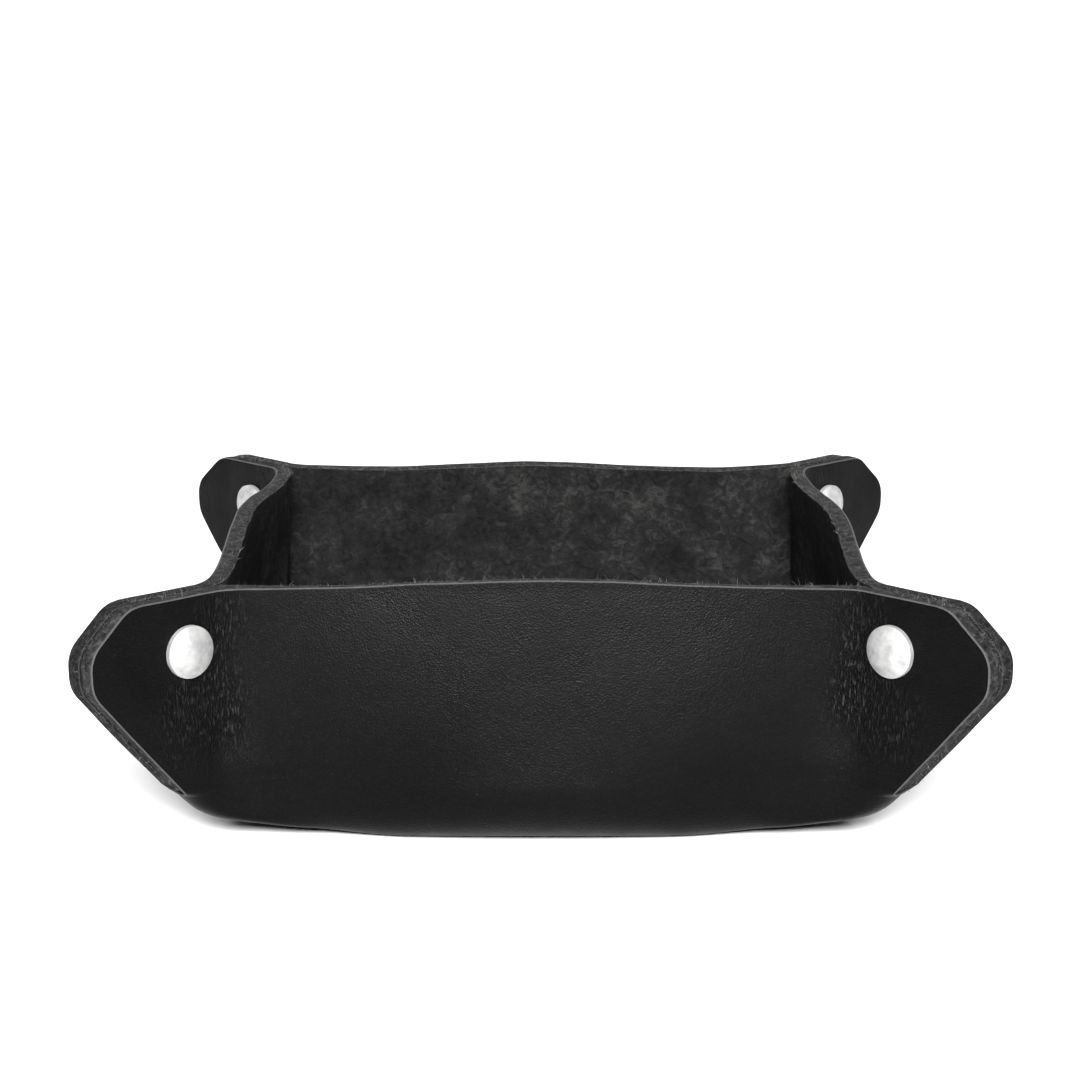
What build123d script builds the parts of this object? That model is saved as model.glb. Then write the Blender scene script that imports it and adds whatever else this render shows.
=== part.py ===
from build123d import *
from math import atan, atan2, cos, hypot, radians, sin, sqrt, tan
import os

# Valet tray folded from one square of thick leather. The four walls stand up,
# and at each corner the two wall ends are pinched flesh to flesh into an ear
# that stands out along the diagonal and is held by one double-cap rivet.
# Millimetres, +Z up, front wall towards -Y. The origin is on the underside,
# at the middle of the tray.

# Leather sheet and the four rivets' places
leather = 3.4
layer_gap = 0.4
rivet_spacing = 135.8
rivet_height = 40.0

# Base and walls, on the grain side. A wall's rim stands a little inside the
# line of the rivets, and rises towards its middle.
base_corner_radius = 22.5
bend_radius = 12.0
rim_inset = 3.0
crown_rise = 1.7
crown_span = 96.0

# Ear outline, measured from the rivet's centre. The notch is the V cut out of
# the corner, and its point is where the fold of the base begins.
ear_top = 10.2
ear_shoulder = 12.2
ear_nose_high = 2.6
ear_nose_low = 4.3
ear_reach = 21.2
shoulder_round = 3.0
nose_round = 2.6
notch_depth = 29.1
notch_inset = 0.2

# How the wall's own plan line passes into the ear: the height over which the
# walls close on each other above the notch, the height at which the ear's flat
# flank has its full length, and the pull of the curve at either end
closing_rise = 3.0
pinch_rise = 12.0
notch_flank = 1.0
seat_margin = 1.5
base_pull = 14.0
ear_pull = 9.0
crest_pull_share = 0.42

# Double-cap rivet
cap_diameter = 10.0
cap_height = 2.6
cap_rim_height = 1.25
cap_sheet = 0.35
cap_press = 0.25
lip_opening = 6.6
flange_thickness = 0.45
stem_diameter = 2.6
stem_bore = 1.4
stem_tip = 0.6
stem_fit = 0.05
socket_wall = 0.4
socket_floor = 0.4
hole_fit = 0.1

# One overrun for every cut. The sheet's plan lines are drawn at a number of
# levels, which lie closer together in the bend.
overrun = 3.0
cut_margin = 0.6
level_count = 12
level_growth = 2.0

rivet_half = rivet_spacing / 2
layer_offset = layer_gap / 2
ear_face = layer_offset + leather
cap_seat = ear_face - cap_press
notch_level = rivet_height - notch_depth
corner_top = rivet_height + ear_top
crown_top = corner_top + crown_rise
nose_level = rivet_height - ear_nose_low
sheet_end = crown_top + overrun
clear_above = 2 * sheet_end
clear_beside = 2 * rivet_spacing
socket_diameter = stem_diameter + 2 * stem_fit + 2 * socket_wall
hole_diameter = socket_diameter + 2 * hole_fit

# The corner's fold climbs from the base to the notch on an arc that ends at the
# slope of the notch's edge. It sets how far the flat base reaches.
rivet_diagonal = rivet_half * sqrt(2)
notch_diagonal = rivet_diagonal + notch_inset
notch_slope = atan2(notch_depth - ear_nose_low, ear_reach - notch_inset)
fold_arc_radius = notch_level / (1 - cos(notch_slope))
base_diagonal = notch_diagonal - fold_arc_radius * sin(notch_slope)
base_half = (base_diagonal - base_corner_radius) / sqrt(2) + base_corner_radius
rim_half = rivet_half - rim_inset
lean = atan((base_half + bend_radius - rim_half) / (corner_top - bend_radius))


def ease(value, low, high):
    """0 below low, 1 above high, and an even climb between them."""
    share = min(max((value - low) / (high - low), 0), 1)
    return share * share * (3 - 2 * share)


def wall_middle(height, inset):
    """From the tray's middle to a wall's middle. Grain has no inset, flesh has the leather's."""
    radius = bend_radius - inset
    bend_end = bend_radius + radius * sin(lean)
    if height < bend_end:
        climb = bend_radius - height
        return base_half + sqrt(max(radius**2 - climb**2, 0))
    return base_half + radius * cos(lean) - (height - bend_end) * tan(lean)


def fold_tip(height, inset):
    """From the tray's middle to the corner's fold. Above the notch it lies past every cut."""
    radius = fold_arc_radius - inset
    arc_end = fold_arc_radius - radius * cos(notch_slope)
    beyond = ear_face + cut_margin + inset / sin(notch_slope) - inset
    past_the_cut = beyond * ease(height, notch_level, notch_level + closing_rise)
    if height < arc_end:
        climb = fold_arc_radius - height
        return base_diagonal + sqrt(max(radius**2 - climb**2, 0)) + past_the_cut
    level = (height + nose_level) / 2 - hypot((height - nose_level) / 2, nose_round)
    slope_run = (level - arc_end) / tan(notch_slope)
    return base_diagonal + radius * sin(notch_slope) + slope_run + past_the_cut


def fold_radius(height, inset):
    """The fold tightens from the base's round corner to the two layers laid on each other."""
    climbed = min(max((height - inset) / (notch_level - inset), 0), 1)
    return base_corner_radius + (ear_face - base_corner_radius) * climbed - inset


def plan_section(height, inset):
    """One eighth of the tray's plan at a level, from the right wall's middle to the rear right corner."""
    half = wall_middle(height, inset)
    radius = fold_radius(height, inset)
    fold_centre = fold_tip(height, inset) - radius
    centre = fold_centre / sqrt(2)
    tip = centre + radius / sqrt(2)
    flare = radians(45) * ease(height, inset, notch_level + closing_rise)
    pinched = ease(height, notch_level, notch_level + pinch_rise)
    low_flank = notch_diagonal - ear_face - notch_flank
    high_flank = rivet_diagonal - cap_diameter / 2 - seat_margin
    flank_start = low_flank + (high_flank - low_flank) * pinched
    flank = notch_flank
    if height > notch_level:
        flank = max(fold_centre - flank_start, notch_flank)
    pull = base_pull + (ear_pull - base_pull) * pinched
    half_sweep = (radians(45) + flare) / 2
    arc_middle = radians(45) - half_sweep
    fold_start = (centre + radius * cos(flare), centre - radius * sin(flare))
    flare_end = (fold_start[0] - flank * sin(flare), fold_start[1] - flank * cos(flare))
    flare_pull = (flare_end[0] - pull * sin(flare), flare_end[1] - pull * cos(flare))
    with BuildSketch(Plane.XY.offset(height)) as section:
        with BuildLine():
            Line((0, 0), (half, 0))
            Bezier((half, 0), (half, half * crest_pull_share), flare_pull, flare_end)
            Line(flare_end, fold_start)
            ThreePointArc(
                fold_start,
                (centre + radius * cos(arc_middle), centre + radius * sin(arc_middle)),
                (tip, tip),
            )
            Line((tip, tip), (0, 0))
        make_face()
    return section.sketch


def sheet_levels(start):
    """Levels from the lowest one up past the rim."""
    climbs = [(number / (level_count - 1)) ** level_growth for number in range(level_count)]
    return [start + (sheet_end - start) * climb for climb in climbs]


diagonal = Plane(origin=(0, 0, 0), x_dir=(1, 1, 0), z_dir=(1, -1, 0))
ear = Plane(origin=(rivet_half, rivet_half, rivet_height), x_dir=(1, 1, 0), z_dir=(1, -1, 0))

# One eighth of the sheet, from the middle of the right wall to the rear right ear
with BuildPart() as grain_side:
    loft([plan_section(height, 0) for height in sheet_levels(0)])

with BuildPart() as flesh_side:
    loft([plan_section(height, leather) for height in sheet_levels(leather)])

with BuildPart() as half_wall:
    add(grain_side.part)
    add(flesh_side.part, mode=Mode.SUBTRACT)
    # All that lies outside the ear's outline
    with BuildSketch(ear):
        with BuildLine():
            FilletPolyline(
                (notch_inset, -notch_depth),
                (ear_reach, -ear_nose_low),
                (ear_reach, ear_nose_high),
                (ear_shoulder, ear_top),
                (-ear_shoulder, ear_top),
                radius=(nose_round, nose_round, shoulder_round),
            )
            Polyline(
                (-ear_shoulder, ear_top),
                (-ear_shoulder, clear_above),
                (clear_beside, clear_above),
                (clear_beside, -rivet_height - overrun),
                (notch_inset, -rivet_height - overrun),
                (notch_inset, -notch_depth),
            )
        make_face()
    extrude(amount=ear_face + overrun, both=True, mode=Mode.SUBTRACT)
    # The rim rises gently towards the wall's middle
    with BuildSketch(Plane.YZ):
        with BuildLine():
            Spline(
                (0, crown_top),
                (crown_span / 2, corner_top),
                tangents=((1, 0), (1, 0)),
            )
            Polyline(
                (crown_span / 2, corner_top),
                (clear_beside, corner_top),
                (clear_beside, clear_above),
                (0, clear_above),
                (0, crown_top),
            )
        make_face()
    extrude(amount=clear_beside, mode=Mode.SUBTRACT)
    # Rivet hole, and the shallow seat that the cap presses into the grain
    with BuildSketch(ear):
        Circle(hole_diameter / 2)
    extrude(amount=ear_face + overrun, mode=Mode.SUBTRACT)
    with BuildSketch(ear.offset(cap_seat)):
        Circle(cap_diameter / 2)
    extrude(amount=overrun, mode=Mode.SUBTRACT)

# The layer of the neighbouring wall mirrors this one, and the four corners are alike
with BuildPart() as corner:
    add(half_wall.part)
    mirror(about=diagonal)

with BuildPart() as leather_tray:
    with PolarLocations(0, 4):
        add(corner.part)

# Rivet, turned about its own axis. Heights run along that axis, outward from the
# ear's middle plane. Each half is a domed cap crimped round a flange.
cap_radius = cap_diameter / 2
flange_radius = cap_radius - cap_sheet - stem_fit
stem_radius = stem_diameter / 2
socket_radius = socket_diameter / 2
lip_top = cap_seat + cap_sheet
flange_top = lip_top + flange_thickness
rim_top = cap_seat + cap_rim_height
cap_top = cap_seat + cap_height
socket_mouth = cap_seat
stem_end = flange_top - socket_floor - stem_fit


def dome_line(radius, edge, crest):
    """Round line from a dome's edge to its crest on the axis."""
    rise = crest - edge
    sphere = (radius**2 + rise**2) / (2 * rise)
    part_way = radius / 2
    part_height = crest - sphere + sqrt(sphere**2 - part_way**2)
    ThreePointArc((radius, edge), (part_way, part_height), (0, crest))


with BuildPart() as rivet_cap:
    with BuildSketch(Plane.XZ):
        with BuildLine():
            dome_line(cap_radius, rim_top, cap_top)
            Line((0, cap_top), (0, cap_top - cap_sheet))
            dome_line(cap_radius - cap_sheet, rim_top, cap_top - cap_sheet)
            Polyline(
                (cap_radius - cap_sheet, rim_top),
                (cap_radius - cap_sheet, lip_top),
                (lip_opening / 2, lip_top),
                (lip_opening / 2, cap_seat),
                (cap_radius, cap_seat),
                (cap_radius, rim_top),
            )
        make_face()
    revolve(axis=Axis.Z)

with BuildPart() as rivet_post:
    with BuildSketch(Plane.XZ):
        with BuildLine():
            Polyline(
                (stem_bore / 2, flange_top),
                (flange_radius, flange_top),
                (flange_radius, lip_top),
                (stem_radius, lip_top),
                (stem_radius, -stem_end),
                (0, -stem_end),
                (0, stem_tip - stem_end),
                (stem_bore / 2, stem_tip - stem_end),
                close=True,
            )
        make_face()
    revolve(axis=Axis.Z)

with BuildPart() as rivet_socket:
    with BuildSketch(Plane.XZ):
        with BuildLine():
            Polyline(
                (0, flange_top),
                (flange_radius, flange_top),
                (flange_radius, lip_top),
                (socket_radius, lip_top),
                (socket_radius, -socket_mouth),
                (stem_radius + stem_fit, -socket_mouth),
                (stem_radius + stem_fit, flange_top - socket_floor),
                (0, flange_top - socket_floor),
                close=True,
            )
        make_face()
    revolve(axis=Axis.Z)

pieces = {"leather_tray": leather_tray.part}
across = {"front": -1, "back": 1}
sideways = {"left": -1, "right": 1}
for row, y_sign in across.items():
    for side, x_sign in sideways.items():
        centre = (x_sign * rivet_half, y_sign * rivet_half, rivet_height)
        wall_side = Plane(origin=centre, x_dir=(0, 0, 1), z_dir=(-x_sign, y_sign, 0))
        flank_side = Plane(origin=centre, x_dir=(0, 0, 1), z_dir=(x_sign, -y_sign, 0))
        fittings = (
            ("cap", rivet_cap, wall_side),
            ("post", rivet_post, wall_side),
            ("socket", rivet_socket, flank_side),
            ("side_cap", rivet_cap, flank_side),
        )
        for word, fitting, place in fittings:
            with BuildPart() as placed:
                with Locations(place):
                    add(fitting.part)
            pieces[f"{row}_{side}_rivet_{word}"] = placed.part

os.makedirs("parts", exist_ok=True)
for name, piece in pieces.items():
    piece.label = name
    export_step(piece, f"parts/{name}.step")
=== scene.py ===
import random
from math import atan, atan2, cos, exp, pi, radians, sin, sqrt, tan

import bmesh
import bpy
import numpy as np
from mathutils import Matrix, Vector, noise


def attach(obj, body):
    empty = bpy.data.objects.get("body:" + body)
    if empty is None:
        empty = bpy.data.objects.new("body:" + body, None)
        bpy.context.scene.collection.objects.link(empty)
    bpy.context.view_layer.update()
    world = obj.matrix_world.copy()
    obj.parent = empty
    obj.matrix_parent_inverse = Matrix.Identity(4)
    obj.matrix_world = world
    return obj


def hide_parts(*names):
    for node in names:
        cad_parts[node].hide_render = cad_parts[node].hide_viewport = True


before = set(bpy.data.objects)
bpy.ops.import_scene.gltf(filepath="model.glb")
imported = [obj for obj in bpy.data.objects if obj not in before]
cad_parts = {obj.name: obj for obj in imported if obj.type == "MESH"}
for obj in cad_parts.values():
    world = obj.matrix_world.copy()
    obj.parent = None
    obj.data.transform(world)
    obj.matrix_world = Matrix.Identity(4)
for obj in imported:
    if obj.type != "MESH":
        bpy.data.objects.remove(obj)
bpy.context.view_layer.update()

# Valet tray: one sheet of thick black leather with its corners pinched into
# riveted ears. Lengths in this script are millimetres until a mesh is made.
MM = 0.001
random.seed(11)

# The sheet, as the frame has it
LEATHER = 3.4
LAYER_OFFSET = 0.2
RIVET_HALF = 67.9
RIVET_HEIGHT = 40.0
BASE_CORNER_RADIUS = 22.5
BEND_RADIUS = 12.0
RIM_HALF = 64.9
CROWN_RISE = 1.7
CROWN_HALF_SPAN = 48.0
EAR_TOP = 10.2
EAR_SHOULDER = 12.2
EAR_NOSE_HIGH = 2.6
EAR_NOSE_LOW = 4.3
EAR_REACH = 21.2
NOTCH_DEPTH = 29.1
NOTCH_INSET = 0.2
CLOSING_RISE = 3.0
PINCH_RISE = 12.0
NOTCH_FLANK = 1.0
SEAT_MARGIN = 6.5
BASE_PULL = 14.0
CREST_PULL_SHARE = 0.42

# Softer than in the frame: how far the ear's shoulder and nose are rounded, and
# how the wall turns into its ear
SHOULDER_ROUND = 7.0
NOSE_ROUND = 6.0
EAR_PULL = 7.0
RIM_CREST_PULL_SHARE = 0.5
# How fast the base's corner tightens on its way up, and how far its fold runs on
# past the notch
CORNER_EASE = 3.6
FOLD_RUN_ON = 2.5
# How far the sheet is drawn past its cut, to be trimmed there
PAST_THE_CUT = 5.0
# The side walls' ears were cut a little wider than those of the front and back
# walls, over these heights above the notch
SIDE_SPARE = 0.35
SPARE_START = 2
SPARE_FULL = 16
# Where the nap fills the slit: from the ear's start, and off the ear's faces
NAP_START = (-1, 2)
NAP_SIDES = (1, 3)

EAR_FACE = LAYER_OFFSET + LEATHER
NOTCH_LEVEL = RIVET_HEIGHT - NOTCH_DEPTH
CORNER_TOP = RIVET_HEIGHT + EAR_TOP
RIVET_DIAGONAL = RIVET_HALF * sqrt(2)
NOTCH_DIAGONAL = RIVET_DIAGONAL + NOTCH_INSET
NOTCH_SLOPE = atan2(NOTCH_DEPTH - EAR_NOSE_LOW, EAR_REACH - NOTCH_INSET)
FOLD_ARC_RADIUS = NOTCH_LEVEL / (1 - cos(NOTCH_SLOPE))
BASE_DIAGONAL = NOTCH_DIAGONAL - FOLD_ARC_RADIUS * sin(NOTCH_SLOPE)
BASE_HALF = (BASE_DIAGONAL - BASE_CORNER_RADIUS) / sqrt(2) + BASE_CORNER_RADIUS
LEAN = atan((BASE_HALF + BEND_RADIUS - RIM_HALF) / (CORNER_TOP - BEND_RADIUS))

# How finely the sheet is divided, per eighth
COLUMNS = 84
BASE_ROWS = 12
BEND_ROWS = 16
WALL_ROWS = 60
# Columns crowd towards the ear, base rows towards the bend, and wall rows towards
# the notch and the rim, bar the evenly spread share
COLUMN_CROWDING = 1.35
BASE_ROW_CROWDING = 0.8
EVEN_SHARE = 0.3
LINE_POINTS = 160
EDGE_SHARES = (0, 0.025, 0.07, 0.14, 0.3, 0.5, 0.7, 0.86, 0.93, 0.975, 1)
EDGE_STEPS = len(EDGE_SHARES) - 1
# How far the cut edge bulges out, as the knife left it
EDGE_BULGE = 0.28
# From where along the diagonal a side wall's layer counts as its ear's
DARKER_EDGE_FROM = (84, 92)


def ease(value, low, high):
    """0 below low, 1 above high, and an even climb between them."""
    share = np.clip((value - low) / (high - low), 0, 1)
    return share * share * (3 - 2 * share)


def share_of(value, low, high):
    """The same climb as a plain number."""
    return float(ease(value, low, high))


def wall_middle(height):
    """Grain side at the wall's middle: round the bend, then leaning in."""
    bend_end = BEND_RADIUS * (1 + sin(LEAN))
    if height < bend_end:
        return BASE_HALF + sqrt(max(BEND_RADIUS**2 - (BEND_RADIUS - height) ** 2, 0))
    return BASE_HALF + BEND_RADIUS * cos(LEAN) - (height - bend_end) * tan(LEAN)


def fold_tip(height):
    """The sheet's furthest point on the diagonal: up the base's corner, then past the cut."""
    if height < NOTCH_LEVEL:
        climb = FOLD_ARC_RADIUS - height
        return BASE_DIAGONAL + sqrt(max(FOLD_ARC_RADIUS**2 - climb**2, 0))
    past_the_cut = PAST_THE_CUT * ease(height, NOTCH_LEVEL, NOTCH_LEVEL + CLOSING_RISE)
    return NOTCH_DIAGONAL + (height - NOTCH_LEVEL) / tan(NOTCH_SLOPE) + past_the_cut


def filleted(points, radii, steps=12):
    """Polyline through the points with its inner corners rounded."""
    line = [np.array(points[0])]
    for before, corner, after, radius in zip(points, points[1:], points[2:], radii):
        corner = np.array(corner)
        back = np.array(before) - corner
        ahead = np.array(after) - corner
        back = back / np.linalg.norm(back)
        ahead = ahead / np.linalg.norm(ahead)
        half = np.arccos(back @ ahead) / 2
        centre = corner + (back + ahead) / np.linalg.norm(back + ahead) * radius / sin(half)
        start = corner + back * radius / tan(half) - centre
        end = corner + ahead * radius / tan(half) - centre
        sweep = pi - 2 * half
        for step in range(steps + 1):
            share = step / steps
            arm = (start * sin((1 - share) * sweep) + end * sin(share * sweep)) / sin(sweep)
            line.append(centre + arm)
    line.append(np.array(points[-1]))
    return np.array(line)


EAR_OUTLINE = filleted(
    [
        (NOTCH_INSET, -NOTCH_DEPTH),
        (EAR_REACH, -EAR_NOSE_LOW),
        (EAR_REACH, EAR_NOSE_HIGH),
        (EAR_SHOULDER, EAR_TOP),
        (0, EAR_TOP),
    ],
    (NOSE_ROUND, NOSE_ROUND, SHOULDER_ROUND),
)[:-1]


def ear_edge(height, spare):
    """Where an ear's cut edge stands along the diagonal, with its layer's spare width."""
    level = height - RIVET_HEIGHT
    along = np.interp(level, EAR_OUTLINE[:, 1], EAR_OUTLINE[:, 0])
    opened = ease(height, NOTCH_LEVEL + SPARE_START, NOTCH_LEVEL + SPARE_FULL)
    return RIVET_DIAGONAL + along + spare * opened


def plan_line(height, spare):
    """Grain side of one eighth at a level, from the wall's middle to the sheet's own end."""
    half = wall_middle(height)
    climbed = 1 - (1 - min(height / NOTCH_LEVEL, 1)) ** CORNER_EASE
    radius = BASE_CORNER_RADIUS + (EAR_FACE - BASE_CORNER_RADIUS) * climbed
    fold_centre = fold_tip(height) - radius
    centre = fold_centre / sqrt(2)
    flare = radians(45) * ease(height, 0, NOTCH_LEVEL + CLOSING_RISE)
    pinched = ease(height, NOTCH_LEVEL, NOTCH_LEVEL + PINCH_RISE)
    low_flank = NOTCH_DIAGONAL - EAR_FACE - NOTCH_FLANK
    high_flank = RIVET_DIAGONAL - SEAT_MARGIN
    flank = NOTCH_FLANK
    if height > NOTCH_LEVEL:
        run_on = FOLD_RUN_ON * (1 - exp((NOTCH_LEVEL - height) / (FOLD_RUN_ON * tan(NOTCH_SLOPE))))
        flank_start = low_flank + run_on * (1 - pinched) + (high_flank - low_flank) * pinched
        flank = max(fold_centre - flank_start, NOTCH_FLANK)
    pull = BASE_PULL + (EAR_PULL - BASE_PULL) * pinched
    crest_pull = CREST_PULL_SHARE + (RIM_CREST_PULL_SHARE - CREST_PULL_SHARE) * pinched
    turn = np.array((sin(flare), cos(flare)))
    fold_start = np.array((centre + radius * cos(flare), centre - radius * sin(flare)))
    flare_end = fold_start - flank * turn
    flare_pull = flare_end - pull * turn
    share = np.linspace(0, 1, LINE_POINTS)[:, None]
    curve = (
        (1 - share) ** 3 * np.array((half, 0))
        + 3 * share * (1 - share) ** 2 * np.array((half, half * crest_pull))
        + 3 * share**2 * (1 - share) * flare_pull
        + share**3 * flare_end
    )
    flank_share = np.linspace(0, 1, LINE_POINTS // 2)[1:, None]
    flank_line = flare_end + (fold_start - flare_end) * flank_share
    angles = np.linspace(-flare, radians(45), LINE_POINTS // 2)[1:]
    fold = np.stack((centre + radius * np.cos(angles), centre + radius * np.sin(angles)), 1)
    line = np.concatenate((curve, flank_line, fold))
    if height <= NOTCH_LEVEL:
        return line
    along = line.sum(1) / sqrt(2)
    edge = ear_edge(height, spare)
    last = int(np.argmax(along > edge))
    if last == 0:
        return line
    share = (edge - along[last - 1]) / (along[last] - along[last - 1])
    end = line[last - 1] + (line[last] - line[last - 1]) * share
    return np.concatenate((line[:last], end[None]))


def spread(line):
    """The line's points moved to fixed shares of its length, closer together towards the ear."""
    steps = np.linalg.norm(np.diff(line, axis=0), axis=1)
    run = np.concatenate(((0,), np.cumsum(steps)))
    shares = 1 - (1 - np.linspace(0, 1, COLUMNS + 1)) ** COLUMN_CROWDING
    places = shares * run[-1]
    points = np.stack([np.interp(places, run, line[:, axis]) for axis in (0, 1)], 1)
    return points, places


def crown(along):
    """Share of the rim's rise at a distance from the wall's middle."""
    return (1 + np.cos(pi * np.clip(np.abs(along) / CROWN_HALF_SPAN, 0, 1))) / 2


# Heights of the rows, up to the notch and then up to the rim
bend_heights = NOTCH_LEVEL * (1 - np.cos(np.linspace(0, pi / 3, BEND_ROWS + 1))) * 2
wall_shares = np.linspace(0, 1, WALL_ROWS + 1)[1:]
wall_climb = EVEN_SHARE * wall_shares + (1 - EVEN_SHARE) * (1 - np.cos(pi * wall_shares)) / 2
HEIGHTS = np.concatenate((bend_heights, NOTCH_LEVEL + (CORNER_TOP - NOTCH_LEVEL) * wall_climb))


def eighth(spare):
    """Points of one eighth of the grain side as rows and columns, and its sheet coordinates."""
    rows, sheet = [], []
    base_line, base_places = spread(plan_line(0.0, spare))
    for share in np.linspace(0, 1, BASE_ROWS + 1)[:-1]:
        share = share**BASE_ROW_CROWDING
        rows.append(np.concatenate((base_line * share, np.zeros((COLUMNS + 1, 1))), 1))
        sheet.append(np.stack((base_places * share, np.full(COLUMNS + 1, BASE_HALF * share)), 1))
    climbed = BASE_HALF
    for number, height in enumerate(HEIGHTS):
        line, places = spread(plan_line(height, spare))
        above_notch = max(height - NOTCH_LEVEL, 0)
        lift = CROWN_RISE * crown(line[:, 1]) * above_notch / (CORNER_TOP - NOTCH_LEVEL)
        rows.append(np.concatenate((line, (height + lift)[:, None]), 1))
        if number:
            rise = height - HEIGHTS[number - 1]
            run = rows[-1][0, 0] - rows[-2][0, 0]
            climbed += sqrt(rise**2 + run**2)
        sheet.append(np.stack((places, np.full(COLUMNS + 1, climbed)), 1))
    return np.array(rows), np.array(sheet)


# Sheet coordinates of each wall start this far beyond the last wall's
SHEET_STRIDE = 300


def build_grain_side():
    """The sheet's grain side as one merged mesh: points, quads and sheet coordinates."""
    points, quads, coords = [], [], []
    for quarter in range(4):
        turn = np.array(((0, -1), (1, 0)))
        whole = np.linalg.matrix_power(turn, quarter)
        for mirrored in (False, True):
            # The unmirrored eighth is on the wall that faces +X before its turn
            wall = (quarter + mirrored) % 4
            rows, sheet = eighth(SIDE_SPARE if wall % 2 == 0 else 0.0)
            flat = rows.reshape(-1, 3).copy()
            if mirrored:
                flat[:, [0, 1]] = flat[:, [1, 0]]
            flat[:, :2] = flat[:, :2] @ whole.T
            start = sum(len(part) for part in points)
            count = COLUMNS + 1
            for row in range(len(rows) - 1):
                for column in range(COLUMNS):
                    a = start + row * count + column
                    b = a + 1
                    c = b + count
                    d = a + count
                    quads.append((a, d, c, b) if mirrored else (a, b, c, d))
            points.append(flat)
            side = -1 if mirrored else 1
            flat_sheet = sheet.reshape(-1, 2).copy()
            flat_sheet[:, 0] *= side
            flat_sheet[:, 0] += wall * SHEET_STRIDE
            coords.append(flat_sheet)
    return np.concatenate(points), quads, np.concatenate(coords)


def merged_mesh(points, quads, coords):
    """One mesh of the grain side, with the eighths joined where they meet."""
    mesh = bpy.data.meshes.new("grain_side")
    bm = bmesh.new()
    layer = bm.verts.layers.float_vector.new("sheet")
    verts = []
    for point, coord in zip(points, coords):
        vert = bm.verts.new(point)
        vert[layer] = (coord[0], coord[1], 0)
        verts.append(vert)
    for quad in quads:
        bm.faces.new([verts[index] for index in quad])
    bmesh.ops.remove_doubles(bm, verts=bm.verts, dist=0.002)
    bmesh.ops.dissolve_degenerate(bm, edges=bm.edges, dist=0.0005)
    bm.normal_update()
    bm.to_mesh(mesh)
    bm.free()
    return mesh


def arrays(mesh):
    """Points and normals of a mesh."""
    co = np.zeros(len(mesh.vertices) * 3)
    mesh.vertices.foreach_get("co", co)
    normal = np.zeros(len(mesh.vertices) * 3)
    mesh.vertex_normals.foreach_get("vector", normal)
    return co.reshape(-1, 3), normal.reshape(-1, 3)


def ear_frame(point):
    """Along the nearer diagonal, and off it, for a point; with the diagonal's two directions."""
    out = np.array((np.sign(point[0]) or 1, np.sign(point[1]) or 1)) / sqrt(2)
    off = np.array((-out[1], out[0]))
    return point[:2] @ out, point[:2] @ off, out, off


def wander(point, scale, seed):
    """Smooth noise from about -1 to 1, with features of about the scale's size."""
    return noise.noise(Vector(point) / scale + Vector((seed, seed * 1.7, seed * 0.3)))


# Unevenness of the hand-made tray, as lengths and (from, full) ranges. The base's
# corners are drawn up off the floor, along the diagonal and fading with height.
BASE_CORNER_LIFT = 1.5
LIFT_START = (62, 75)
LIFT_END = (80, 94)
LIFT_HEIGHTS = (5, 20)
# The walls belly out, most at the middle of their length and height
WALL_BELLY = 0.9
BELLY_FOOT = 8
BELLY_ENDS = (-56, -30)
# Slow and quick waves of the free wall: size, seed and height of each
FREE_HEIGHTS = (6, 20)
WAVES = ((46, 3.0, 0.9), (17, 8.0, 0.22))
# Both layers of an ear bow together, and neither moves where the rivet sits
RIVET_CLEARING = (7.5, 15)
EAR_HALF_WIDTH = (-13, -6)
EAR_DEPTH = (78, 92)
EAR_BOW = 0.7
EAR_BOW_SIZE = 22
# How far each ear's layers stand apart at the nose, by the ear's corner
EAR_OPENING = {(1, -1): 0.12, (-1, -1): 0.0, (1, 1): 0.05, (-1, 1): 0.1}
OPENING_START = RIVET_DIAGONAL + 7
OPENING_HEIGHTS = (NOTCH_LEVEL + 6, NOTCH_LEVEL + 22)
# Rim heights differ a little from wall to wall: how much each rises or sinks
RIM_SHIFT = {"front": 0.1, "back": -1.1, "left": 0.1, "right": -0.1}
RIM_SHIFT_ENDS = (-60, -20)
RIM_SHIFT_FOOT = 14
# The knife's small wander along the rim
KNIFE_WANDER = 0.14
KNIFE_WANDER_SIZE = 9
KNIFE_WANDER_FOOT = 42


def wall_name(x, y):
    if abs(y) > abs(x):
        return "front" if y < 0 else "back"
    return "right" if x > 0 else "left"


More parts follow.
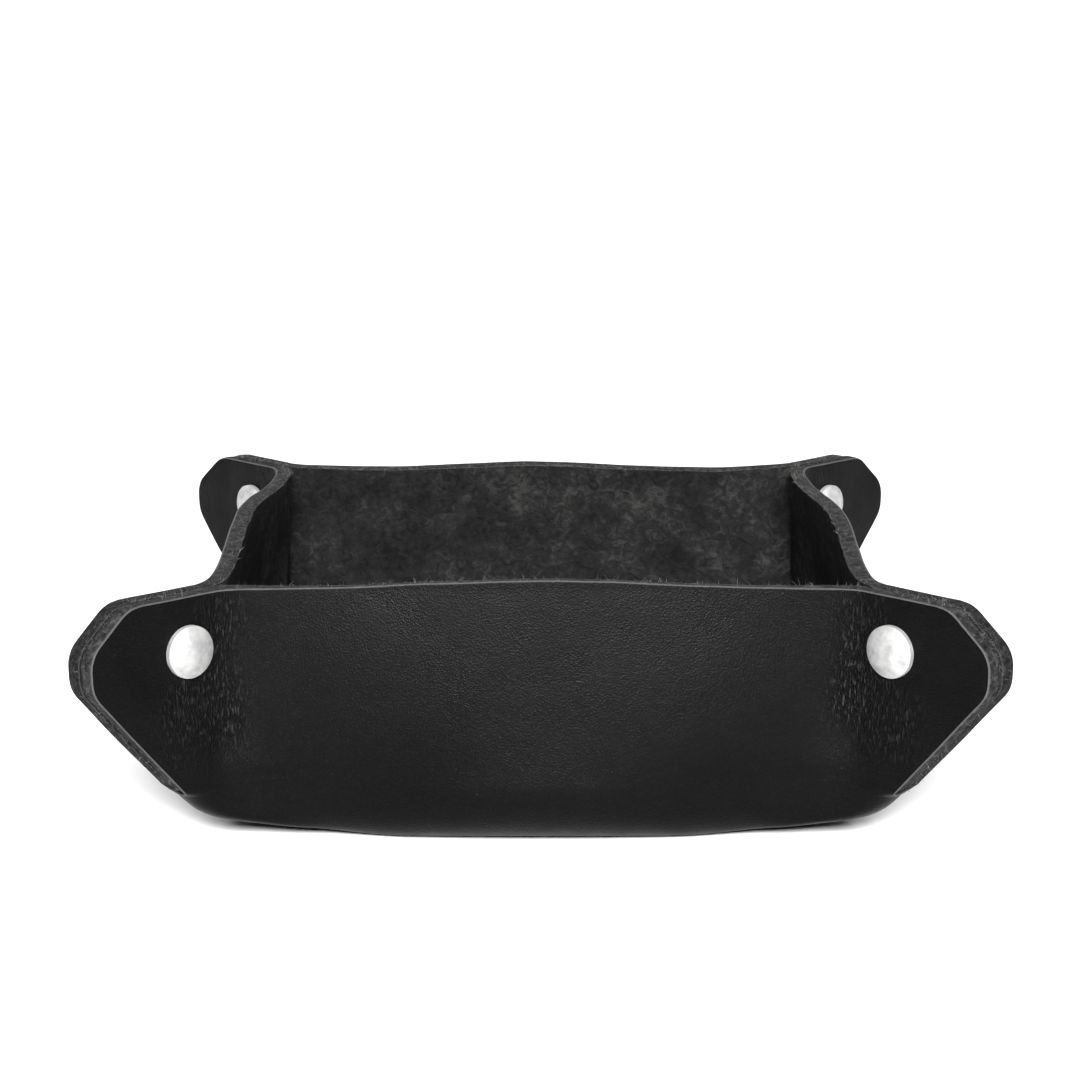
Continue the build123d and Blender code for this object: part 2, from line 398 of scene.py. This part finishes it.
def hand_made_shift(point, normal):
    """How far one point of the grain side is off from the drawn form."""
    x, y, z = point
    along, off, _, across = ear_frame(point)
    from_ends = -min(abs(x), abs(y))
    rivet_distance = sqrt((along - RIVET_DIAGONAL) ** 2 + (z - RIVET_HEIGHT) ** 2)
    clear = share_of(rivet_distance, *RIVET_CLEARING)
    free = share_of(z, *FREE_HEIGHTS)
    in_ear = share_of(-abs(off), *EAR_HALF_WIDTH) * share_of(along, *EAR_DEPTH)
    lift_place = share_of(along, *LIFT_START) * (1 - share_of(along, *LIFT_END))
    shift = np.array((0.0, 0.0, BASE_CORNER_LIFT * lift_place * (1 - share_of(z, *LIFT_HEIGHTS))))
    belly = sin(pi * float(np.clip((z - BELLY_FOOT) / (CORNER_TOP - BELLY_FOOT), 0, 1)))
    shift[:2] += normal[:2] * WALL_BELLY * belly * share_of(from_ends, *BELLY_ENDS)
    for size, seed, height in WAVES:
        shift += normal * wander(point, size, seed) * height * free * (1 - in_ear) * clear
    ear_place = (along * np.sign(x), z * np.sign(y) * 1.3, 5 * np.sign(x))
    bow = wander(ear_place, EAR_BOW_SIZE, 5.0) * EAR_BOW
    shift[:2] += across * bow * in_ear * clear * free
    opening = EAR_OPENING[(int(np.sign(x) or 1), int(np.sign(y) or 1))]
    nose = share_of(along, OPENING_START, RIVET_DIAGONAL + EAR_REACH)
    shift[:2] += across * np.sign(off) * opening * nose * share_of(z, *OPENING_HEIGHTS)
    middle = share_of(from_ends, *RIM_SHIFT_ENDS)
    shift[2] += RIM_SHIFT[wall_name(x, y)] * middle * share_of(z, RIM_SHIFT_FOOT, CORNER_TOP)
    knife = wander((x, y, 40), KNIFE_WANDER_SIZE, 2.0) * KNIFE_WANDER
    shift[2] += knife * share_of(z, KNIFE_WANDER_FOOT, CORNER_TOP) * clear
    return shift


def hand_made(co, normal):
    """Points of a hand-cut, hand-folded tray. Rivet seats and the underside stay true."""
    shifts = [hand_made_shift(point, way) for point, way in zip(co, normal)]
    return co + np.array(shifts)


def boundary_loop(mesh):
    """The sheet's cut edge, as one closed run of vertex numbers."""
    counts = {}
    for polygon in mesh.polygons:
        for a, b in polygon.edge_keys:
            counts[(a, b)] = counts.get((a, b), 0) + 1
    ahead = {}
    used = {key for key, count in counts.items() if count == 1}
    for polygon in mesh.polygons:
        ring = list(polygon.vertices)
        for a, b in zip(ring, ring[1:] + ring[:1]):
            if (min(a, b), max(a, b)) in used:
                ahead[a] = b
    start = next(iter(ahead))
    loop = [start]
    while ahead[loop[-1]] != start:
        loop.append(ahead[loop[-1]])
    return loop


def build_sheet():
    """The whole sheet: grain side, flesh side and the cut edge between them."""
    mesh = merged_mesh(*build_grain_side())
    co, normal = arrays(mesh)
    # The underside stays flat where it rests
    normal[co[:, 2] < 0.001] = (0, 0, -1)
    rough = hand_made(co, normal)
    for index, vert in enumerate(mesh.vertices):
        vert.co = rough[index]
    mesh.update()
    co, normal = arrays(mesh)
    normal[co[:, 2] < 0.001] = (0, 0, -1)
    # The nap fills the ear's slit where the layers are pressed together
    along = np.abs(co[:, :2]).sum(1) / sqrt(2)
    off = np.abs(np.abs(co[:, 0]) - np.abs(co[:, 1])) / sqrt(2)
    ear_start = RIVET_DIAGONAL - SEAT_MARGIN
    pressed = ease(along - ear_start, *NAP_START) * (1 - ease(off - EAR_FACE, *NAP_SIDES))
    pressed = pressed * ease(co[:, 2], NOTCH_LEVEL, NOTCH_LEVEL + CLOSING_RISE)
    flesh = co - normal * (LEATHER + LAYER_OFFSET * pressed)[:, None]
    loop = boundary_loop(mesh)
    count = len(co)
    sheet = np.zeros(count * 3)
    mesh.attributes["sheet"].data.foreach_get("vector", sheet)
    sheet = sheet.reshape(-1, 3)

    edge_points = []
    ring = np.array(loop)
    forward = np.roll(co[ring], -1, 0) - np.roll(co[ring], 1, 0)
    forward /= np.linalg.norm(forward, axis=1)[:, None]
    outward = np.cross(forward, normal[ring])
    outward /= np.linalg.norm(outward, axis=1)[:, None]
    for step in range(1, EDGE_STEPS):
        share = EDGE_SHARES[step]
        bulge = EDGE_BULGE * (1 - abs(2 * share - 1) ** 7)
        edge_points.append(co[ring] * (1 - share) + flesh[ring] * share + outward * bulge)
    points = np.concatenate([co, flesh] + edge_points)
    coords = np.concatenate([sheet, sheet] + [sheet[ring]] * (EDGE_STEPS - 1))

    faces, kinds = [], []
    for polygon in mesh.polygons:
        verts = list(polygon.vertices)
        faces.append(verts)
        kinds.append(0)
        faces.append([vert + count for vert in reversed(verts)])
        kinds.append(1)
    size = len(loop)
    rails = [list(ring)]
    for step in range(1, EDGE_STEPS):
        start = 2 * count + (step - 1) * size
        rails.append(list(range(start, start + size)))
    rails.append([vert + count for vert in loop])
    for upper, lower in zip(rails, rails[1:]):
        for place in range(size):
            ahead = (place + 1) % size
            faces.append([upper[ahead], upper[place], lower[place], lower[ahead]])
            kinds.append(2)
    built = bpy.data.meshes.new("leather_sheet")
    corners = [[int(vert) for vert in face] for face in faces]
    built.from_pydata([tuple(point * MM) for point in points], [], corners)
    built.polygons.foreach_set("material_index", kinds)
    built.polygons.foreach_set("use_smooth", [True] * len(faces))
    attribute = built.attributes.new("sheet", "FLOAT_VECTOR", "POINT")
    attribute.data.foreach_set("vector", (coords * MM).ravel())
    depths = [0.0] * count + [1.0] * count
    for step in range(1, EDGE_STEPS):
        depths += [EDGE_SHARES[step]] * size
    built.attributes.new("depth", "FLOAT", "POINT").data.foreach_set("value", depths)
    # Where a side wall's layer at its ear gets a darker cut edge
    ear_share = ease(np.abs(points[:, :2]).sum(1) / sqrt(2), *DARKER_EDGE_FROM)
    darker_edge = ear_share * (np.abs(points[:, 0]) > np.abs(points[:, 1]))
    built.attributes.new("darker_edge", "FLOAT", "POINT").data.foreach_set("value", darker_edge)
    built.update()
    return built, co, normal, flesh, loop


# Materials


def new_material(name):
    material = bpy.data.materials.new(name)
    material.use_nodes = True
    nodes = material.node_tree.nodes
    return material, nodes, material.node_tree.links, nodes["Principled BSDF"]


def put(nodes, kind, **values):
    """A node with its sockets set by name, and its properties by lower-case name."""
    node = nodes.new(kind)
    for key, value in values.items():
        if key[0].isupper():
            node.inputs[key.replace("_", " ")].default_value = value
        else:
            setattr(node, key, value)
    return node


def ramp(nodes, links, source, stops):
    node = nodes.new("ShaderNodeValToRGB")
    elements = node.color_ramp.elements
    while len(elements) < len(stops):
        elements.new(0.5)
    for element, (place, value) in zip(elements, stops):
        element.position = place
        element.color = (*value, 1) if hasattr(value, "__len__") else (value, value, value, 1)
    links.new(source, node.inputs["Fac"])
    return node.outputs["Color"]


def bump(nodes, links, height, distance, strength=1.0, onto=None):
    node = put(nodes, "ShaderNodeBump", Strength=strength, Distance=distance)
    links.new(height, node.inputs["Height"])
    if onto:
        links.new(onto, node.inputs["Normal"])
    return node.outputs["Normal"]


def maths(nodes, links, operation, first, second):
    node = put(nodes, "ShaderNodeMath", operation=operation)
    for socket, value in zip(node.inputs, (first, second)):
        if isinstance(value, (int, float)):
            socket.default_value = value
        else:
            links.new(value, socket)
    return node.outputs["Value"]


def scaled_place(nodes, links, source, scale):
    node = put(nodes, "ShaderNodeMapping")
    node.inputs["Scale"].default_value = scale
    links.new(source, node.inputs["Vector"])
    return node.outputs["Vector"]


def grain_material():
    material, nodes, links, shader = new_material("leather_grain")
    place = put(nodes, "ShaderNodeTexCoord").outputs["Object"]
    sheet = put(nodes, "ShaderNodeAttribute", attribute_name="sheet").outputs["Vector"]
    # Pebbles of the grain, with the fine pores between them
    pebbles = put(nodes, "ShaderNodeTexVoronoi", Scale=3300, feature="SMOOTH_F1")
    pores = put(nodes, "ShaderNodeTexNoise", Scale=4000, Detail=2, Roughness=0.6)
    swells = put(nodes, "ShaderNodeTexNoise", Scale=160, Detail=4, Roughness=0.55)
    patches = put(nodes, "ShaderNodeTexNoise", Scale=26, Detail=5, Roughness=0.6)
    # Cells of the painted glint flecks
    glint_specks = put(nodes, "ShaderNodeTexVoronoi", Scale=230, feature="F1")
    for node in (pebbles, pores, swells, patches, glint_specks):
        links.new(place, node.inputs["Vector"])
    # Upright creases where the wall was bent into its ear
    crease_place = scaled_place(nodes, links, sheet, (2500, 560, 1))
    creases = put(nodes, "ShaderNodeTexNoise", Scale=1, Detail=3, Roughness=0.55, Distortion=0.5)
    links.new(crease_place, creases.inputs["Vector"])
    mask = put(nodes, "ShaderNodeAttribute", attribute_name="crease").outputs["Fac"]
    sharp = ramp(nodes, links, creases.outputs["Fac"], ((0.38, 0.0), (0.6, 1.0)))
    crease_height = maths(nodes, links, "MULTIPLY", sharp, mask)
    normal = bump(nodes, links, swells.outputs["Fac"], 0.0004, 0.35)
    normal = bump(nodes, links, crease_height, 0.00018, 1.0, normal)
    normal = bump(nodes, links, pebbles.outputs["Distance"], 0.00008, 1.0, normal)
    normal = bump(nodes, links, pores.outputs["Fac"], 0.00005, 1.0, normal)
    links.new(normal, shader.inputs["Normal"])
    dye = ((0.3, (0.0006, 0.0006, 0.00065)), (0.7, (0.0016, 0.00155, 0.0016)))
    colour = ramp(nodes, links, patches.outputs["Fac"], dye)
    # Painted highlights: the grain's crests, and more so those of the creases, get a paler colour
    # that stands in for glints of light
    crest_glints = ramp(nodes, links, pores.outputs["Fac"], ((0.56, 0.0), (0.8, 0.4)))
    ridge_glints = ramp(nodes, links, creases.outputs["Fac"], ((0.54, 0.0), (0.67, 0.85)))
    painted_glints = maths(nodes, links, "MAXIMUM", crest_glints, maths(nodes, links, "MULTIPLY", ridge_glints, mask))
    glint_tint = put(nodes, "ShaderNodeMixRGB", Color2=(0.022, 0.0217, 0.0215, 1))
    links.new(painted_glints, glint_tint.inputs["Fac"])
    links.new(colour, glint_tint.inputs["Color1"])
    colour = glint_tint.outputs["Color"]
    # Painted highlights: small pale flecks in the grain's colour stand in for faint glints of
    # light
    speck_glint_share = ramp(nodes, links, glint_specks.outputs["Distance"], ((0.0, 0.7), (0.03, 0.0)))
    speck_glinted = put(nodes, "ShaderNodeMixRGB", Color2=(0.07, 0.07, 0.07, 1))
    links.new(speck_glint_share, speck_glinted.inputs["Fac"])
    links.new(colour, speck_glinted.inputs["Color1"])
    links.new(speck_glinted.outputs["Color"], shader.inputs["Base Color"])
    dull = ramp(nodes, links, swells.outputs["Fac"], ((0.3, 0.36), (0.7, 0.48)))
    links.new(dull, shader.inputs["Roughness"])
    shader.inputs["Specular IOR Level"].default_value = 0.075
    return material


def flesh_material():
    material, nodes, links, shader = new_material("leather_flesh")
    place = put(nodes, "ShaderNodeTexCoord").outputs["Object"]
    nap = put(nodes, "ShaderNodeTexNoise", Scale=1500, Detail=4, Roughness=0.7)
    fibres = put(nodes, "ShaderNodeTexNoise", Scale=420, Detail=5, Roughness=0.65, Distortion=1.2)
    mottle = put(nodes, "ShaderNodeTexNoise", Scale=75, Detail=6, Roughness=0.68)
    for node in (nap, fibres, mottle):
        links.new(place, node.inputs["Vector"])
    normal = bump(nodes, links, fibres.outputs["Fac"], 0.0007, 0.7)
    normal = bump(nodes, links, nap.outputs["Fac"], 0.00035, 0.8, normal)
    links.new(normal, shader.inputs["Normal"])
    worn = maths(nodes, links, "MULTIPLY", mottle.outputs["Fac"], fibres.outputs["Fac"])
    dye = (
        (0.14, (0.006, 0.006, 0.0062)),
        (0.27, (0.014, 0.0138, 0.0136)),
        (0.40, (0.036, 0.0355, 0.035)),
    )
    colour = ramp(nodes, links, worn, dye)
    links.new(colour, shader.inputs["Base Color"])
    shader.inputs["Roughness"].default_value = 0.93
    shader.inputs["Specular IOR Level"].default_value = 0.05
    return material


def edge_material():
    material, nodes, links, shader = new_material("leather_cut_edge")
    place = put(nodes, "ShaderNodeTexCoord").outputs["Object"]
    strands = put(nodes, "ShaderNodeTexNoise", Scale=620, Detail=7, Roughness=0.8, Distortion=0.9)
    clumps = put(nodes, "ShaderNodeTexNoise", Scale=260, Detail=4, Roughness=0.6)
    for node in (strands, clumps):
        links.new(place, node.inputs["Vector"])
    normal = bump(nodes, links, clumps.outputs["Fac"], 0.0008, 0.8)
    normal = bump(nodes, links, strands.outputs["Fac"], 0.0005, 0.9, normal)
    links.new(normal, shader.inputs["Normal"])
    depth = put(nodes, "ShaderNodeAttribute", attribute_name="depth").outputs["Fac"]
    dye = (
        (0.36, (0.003, 0.003, 0.003)),
        (0.5, (0.018, 0.0178, 0.0176)),
        (0.66, (0.07, 0.069, 0.068)),
    )
    strand_colour = ramp(nodes, links, strands.outputs["Fac"], dye)
    # Painted highlight: a pale band along the cut edge's grain-side corner stands in for light
    # caught there; a fainter pale band runs along its flesh side
    highlight_and_pale_bands = ((0.0, 0.8), (0.06, 0.7), (0.12, 0.0), (0.93, 0.0), (1.0, 0.3))
    bands = ramp(nodes, links, depth, highlight_and_pale_bands)
    # The side walls' layers get a darker cut edge at the ears
    darker_edge = put(nodes, "ShaderNodeAttribute", attribute_name="darker_edge").outputs["Fac"]
    dark_share = maths(nodes, links, "MULTIPLY", darker_edge, 0.6)
    edge_darkened = put(nodes, "ShaderNodeMixRGB", blend_type="MULTIPLY", Color2=(0.3, 0.3, 0.3, 1))
    links.new(dark_share, edge_darkened.inputs["Fac"])
    links.new(strand_colour, edge_darkened.inputs["Color1"])
    blend = put(nodes, "ShaderNodeMixRGB", Color2=(0.085, 0.084, 0.083, 1))
    links.new(bands, blend.inputs["Fac"])
    links.new(edge_darkened.outputs["Color"], blend.inputs["Color1"])
    links.new(blend.outputs["Color"], shader.inputs["Base Color"])
    rough = ramp(nodes, links, depth, ((0.05, 0.5), (0.2, 0.88)))
    links.new(rough, shader.inputs["Roughness"])
    shader.inputs["Specular IOR Level"].default_value = 0.08
    return material


def fibre_material():
    material, nodes, links, shader = new_material("leather_fibre")
    place = put(nodes, "ShaderNodeTexCoord").outputs["Object"]
    tint = put(nodes, "ShaderNodeTexNoise", Scale=300, Detail=2)
    links.new(place, tint.inputs["Vector"])
    dye = ((0.35, (0.04, 0.04, 0.04)), (0.65, (0.16, 0.157, 0.153)))
    colour = ramp(nodes, links, tint.outputs["Fac"], dye)
    links.new(colour, shader.inputs["Base Color"])
    rough = ramp(nodes, links, tint.outputs["Fac"], ((0.3, 0.7), (0.7, 0.95)))
    links.new(rough, shader.inputs["Roughness"])
    normal = bump(nodes, links, tint.outputs["Fac"], 0.00005, 0.4)
    links.new(normal, shader.inputs["Normal"])
    return material


def nickel_material(name, metal, light, dark, rough_low, rough_high):
    """Satin plating with cloudy patches, fine scuffs and a few deeper marks."""
    material, nodes, links, shader = new_material(name)
    place = put(nodes, "ShaderNodeTexCoord").outputs["Object"]
    clouds = put(nodes, "ShaderNodeTexNoise", Scale=420, Detail=5, Roughness=0.62)
    scuffs = put(nodes, "ShaderNodeTexNoise", Scale=2400, Detail=4, Roughness=0.7, Distortion=0.6)
    marks = put(nodes, "ShaderNodeTexVoronoi", Scale=900, feature="F1")
    for node in (clouds, scuffs, marks):
        links.new(place, node.inputs["Vector"])
    colour = ramp(nodes, links, clouds.outputs["Fac"], ((0.32, dark), (0.62, light)))
    links.new(colour, shader.inputs["Base Color"])
    rough = ramp(nodes, links, scuffs.outputs["Fac"], ((0.3, rough_low), (0.7, rough_high)))
    links.new(rough, shader.inputs["Roughness"])
    pits = ramp(nodes, links, marks.outputs["Distance"], ((0.0, 0.0), (0.16, 1.0)))
    normal = bump(nodes, links, pits, 0.00004, 0.35)
    normal = bump(nodes, links, scuffs.outputs["Fac"], 0.00006, 0.5, normal)
    links.new(normal, shader.inputs["Normal"])
    shader.inputs["Metallic"].default_value = metal
    return material


# The sheet

sheet_mesh, grain_points, grain_normals, flesh_points, cut_loop = build_sheet()
leather_sheet = bpy.data.objects.new("leather_sheet", sheet_mesh)
bpy.context.scene.collection.objects.link(leather_sheet)
for material in (grain_material(), flesh_material(), edge_material()):
    sheet_mesh.materials.append(material)


# Where the grain creases, as distances from the wall's middle and heights. Below
# the rivet the creases run further out, and towards the rim they fade.
CREASE_START = (52, 59)
CREASE_END = (62, 66)
LOW_CREASE_END_SHIFT = (5, 7)
LOW_CREASE_HEIGHTS = (30, 40)
CREASE_FOOT = (13, 27)
CREASE_FADE = 0.4
CREASE_FADE_HEIGHTS = (42, 51)
CREASE_MEAN = 0.8
CREASE_SWING = 0.9
CREASE_SWING_SIZE = 9


def crease_share(point):
    """How strongly the grain is creased at a point, by where the wall turns into its ear."""
    along, off, _, _ = ear_frame(point)
    from_middle = (along - abs(off)) / sqrt(2)
    below = 1 - share_of(point[2], *LOW_CREASE_HEIGHTS)
    crease_end = [end + extra * below for end, extra in zip(CREASE_END, LOW_CREASE_END_SHIFT)]
    turn = share_of(from_middle, *CREASE_START) * (1 - share_of(from_middle, *crease_end))
    fade = 1 - CREASE_FADE * share_of(point[2], *CREASE_FADE_HEIGHTS)
    height = share_of(point[2], *CREASE_FOOT) * fade
    broken = CREASE_MEAN + CREASE_SWING * wander(point, CREASE_SWING_SIZE, 12.0)
    return max(turn * height * broken, 0.0)


crease = sheet_mesh.attributes.new("crease", "FLOAT", "POINT")
crease_values = np.zeros(len(sheet_mesh.vertices))
for index, point in enumerate(grain_points):
    crease_values[index] = crease_share(point)
crease.data.foreach_set("value", crease_values)

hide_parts("leather_tray")
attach(leather_sheet, "root")


# Stray fibres along the cut edge, most of them on its flesh side
FIBRE_COUNT = 4200
FIBRE_RINGS = 4
FIBRE_SIDES = 3
FIBRE_ROOT = 0.15
FIBRE_TAPER = 0.8
FIBRE_CURL = 0.45
FIBRE_WIDTHS = (0.035, 0.07)
SHORTEST_FIBRE = 0.35
FIBRE_GROWTH = 1.1
# How far from the flesh side they root, as a share of the sheet's depth
ROOT_SPREAD = 0.85
ROOT_CROWDING = 1.7
# How they lean: outward, towards the flesh side and along the edge
LEAN_OUT = (0.5, 1.0)
LEAN_IN = (-0.2, 0.9)
LEAN_ALONG = (-0.9, 0.9)
# Any direction that no fibre leans along
ACROSS_HINT = (0.31, 0.52, 0.79)


def strand_points(root, lean, reach, curl, width):
    """Rings of a fibre that tapers and curls away from its root."""
    across = np.cross(lean, ACROSS_HINT)
    across = across / np.linalg.norm(across)
    third = np.cross(lean, across)
    points = []
    for step in range(FIBRE_RINGS):
        along = step / (FIBRE_RINGS - 1)
        centre = root + lean * (reach * along - FIBRE_ROOT) + curl * along**2
        girth = width * (1 - FIBRE_TAPER * along)
        for corner in range(FIBRE_SIDES):
            angle = corner * 2 * pi / FIBRE_SIDES
            off_centre = (across * cos(angle) + third * sin(angle)) * girth
            points.append(tuple((centre + off_centre) * MM))
    return points


def strand_faces(start):
    """Faces of a fibre whose first point has the number start."""
    faces = []
    for step in range(FIBRE_RINGS - 1):
        for corner in range(FIBRE_SIDES):
            a = start + step * FIBRE_SIDES + corner
            b = start + step * FIBRE_SIDES + (corner + 1) % FIBRE_SIDES
            faces.append((a, b, b + FIBRE_SIDES, a + FIBRE_SIDES))
    last = start + (FIBRE_RINGS - 1) * FIBRE_SIDES
    faces.append((start + 2, start + 1, start))
    faces.append((last, last + 1, last + 2))
    return faces


def build_fibres(count):
    """Fibres as one mesh, rooted at random places along the cut edge."""
    points, faces = [], []
    size = len(cut_loop)
    for _ in range(count):
        place = random.randrange(size)
        index = cut_loop[place]
        after = cut_loop[(place + 1) % size]
        grain = grain_points[index] * 0.5 + grain_points[after] * 0.5
        flesh = flesh_points[index] * 0.5 + flesh_points[after] * 0.5
        depth = 1 - random.random() ** ROOT_CROWDING * ROOT_SPREAD
        share = random.random()
        ahead = grain_points[after] - grain_points[index]
        root = (grain * (1 - depth) + flesh * depth) + ahead * (share - 0.5)
        length = np.linalg.norm(ahead)
        if length < 0.001:
            continue
        ahead = ahead / length
        inward = -grain_normals[index]
        out = np.cross(ahead, grain_normals[index])
        out = out / np.linalg.norm(out)
        lean = (
            out * random.uniform(*LEAN_OUT)
            + inward * random.uniform(*LEAN_IN)
            + ahead * random.uniform(*LEAN_ALONG)
        )
        lean = lean / np.linalg.norm(lean)
        reach = SHORTEST_FIBRE + FIBRE_GROWTH * random.random() ** 3
        curl = np.array([random.uniform(-1, 1) for _ in range(3)]) * reach * FIBRE_CURL
        width = random.uniform(*FIBRE_WIDTHS)
        faces += strand_faces(len(points))
        points += strand_points(root, lean, reach, curl, width)
    mesh = bpy.data.meshes.new("cut_edge_fibres")
    mesh.from_pydata(points, [], faces)
    mesh.materials.append(fibre_material())
    fibres = bpy.data.objects.new("cut_edge_fibres", mesh)
    bpy.context.scene.collection.objects.link(fibres)
    return fibres


cut_edge_fibres = build_fibres(FIBRE_COUNT)
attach(cut_edge_fibres, "root")

# Rivets keep their own shapes and get their plating

cap_tones = ((0.54, 0.54, 0.535), (0.37, 0.37, 0.37))
core_tones = ((0.62, 0.61, 0.59), (0.45, 0.44, 0.42))
cap_plating = nickel_material("nickel_satin", 0.9, *cap_tones, 0.68, 0.82)
core_plating = nickel_material("nickel_core", 1.0, *core_tones, 0.28, 0.45)
for name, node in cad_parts.items():
    if "rivet" not in name:
        continue
    plating = cap_plating if name.endswith("cap") else core_plating
    for slot in node.material_slots:
        slot.material = plating
    if not node.material_slots:
        node.data.materials.append(plating)

# Floor, light and camera


def floor_material():
    material, nodes, links, shader = new_material("pale_floor")
    place = put(nodes, "ShaderNodeTexCoord").outputs["Object"]
    tint = put(nodes, "ShaderNodeTexNoise", Scale=3, Detail=3)
    links.new(place, tint.inputs["Vector"])
    tones = ((0.3, (0.78, 0.78, 0.78)), (0.7, (0.82, 0.82, 0.82)))
    colour = ramp(nodes, links, tint.outputs["Fac"], tones)
    links.new(colour, shader.inputs["Base Color"])
    shader.inputs["Roughness"].default_value = 0.9
    shader.inputs["Specular IOR Level"].default_value = 0.1
    return material


# Sizes of the floor and its backdrop, in metres
FLOOR_FRONT = -3.0
FLOOR_BACK = 2.2
FLOOR_HALF_WIDTH = 5
COVE_RADIUS = 0.8
COVE_STEPS = 12
BACKDROP_TOP = 4.0


def build_floor():
    """Level floor that curves up into a backdrop far behind the tray."""
    profile = [(FLOOR_FRONT, 0.0), (FLOOR_BACK, 0.0)]
    for step in range(1, COVE_STEPS + 1):
        angle = step / COVE_STEPS * pi / 2
        back = FLOOR_BACK + COVE_RADIUS * sin(angle)
        profile.append((back, COVE_RADIUS * (1 - cos(angle))))
    profile.append((FLOOR_BACK + COVE_RADIUS, BACKDROP_TOP))
    points, faces = [], []
    for y, z in profile:
        points += [(-FLOOR_HALF_WIDTH, y, z), (FLOOR_HALF_WIDTH, y, z)]
    for number in range(len(profile) - 1):
        a = number * 2
        faces.append((a, a + 1, a + 3, a + 2))
    mesh = bpy.data.meshes.new("floor")
    mesh.from_pydata(points, [], faces)
    mesh.polygons.foreach_set("use_smooth", [True] * len(faces))
    mesh.materials.append(floor_material())
    floor = bpy.data.objects.new("floor", mesh)
    bpy.context.scene.collection.objects.link(floor)


def area_light(name, place, target, size, power):
    light = bpy.data.lights.new(name, "AREA")
    light.shape = "RECTANGLE"
    light.size, light.size_y = size
    light.energy = power
    holder = bpy.data.objects.new(name, light)
    bpy.context.scene.collection.objects.link(holder)
    holder.location = place
    aim = Vector(target) - Vector(place)
    holder.rotation_mode = "QUATERNION"
    holder.rotation_quaternion = aim.to_track_quat("-Z", "Y")


build_floor()
world = bpy.data.worlds.new("studio")
bpy.context.scene.world = world
world.use_nodes = True
world.node_tree.nodes["Background"].inputs["Color"].default_value = (1, 1, 1, 1)
world.node_tree.nodes["Background"].inputs["Strength"].default_value = 0.08
area_light("back_ceiling", (0, 2.4, 2.4), (0, 2.4, 0), (5.0, 3.6), 150)
area_light("front_softbox", (0.04, -1.7, 1.0), (0, -0.07, 0.04), (0.8, 0.5), 114)

camera_data = bpy.data.cameras.new("camera")
camera_data.sensor_width = 36
camera_data.lens = 74.53
camera = bpy.data.objects.new("camera", camera_data)
bpy.context.scene.collection.objects.link(camera)
camera.location = (0, -0.4718, 0.1498)
camera.rotation_euler = (radians(77.55), 0, 0)
bpy.context.scene.camera = camera
bpy.context.scene.view_settings.view_transform = "Standard"
bpy.context.scene.view_settings.look = "None"
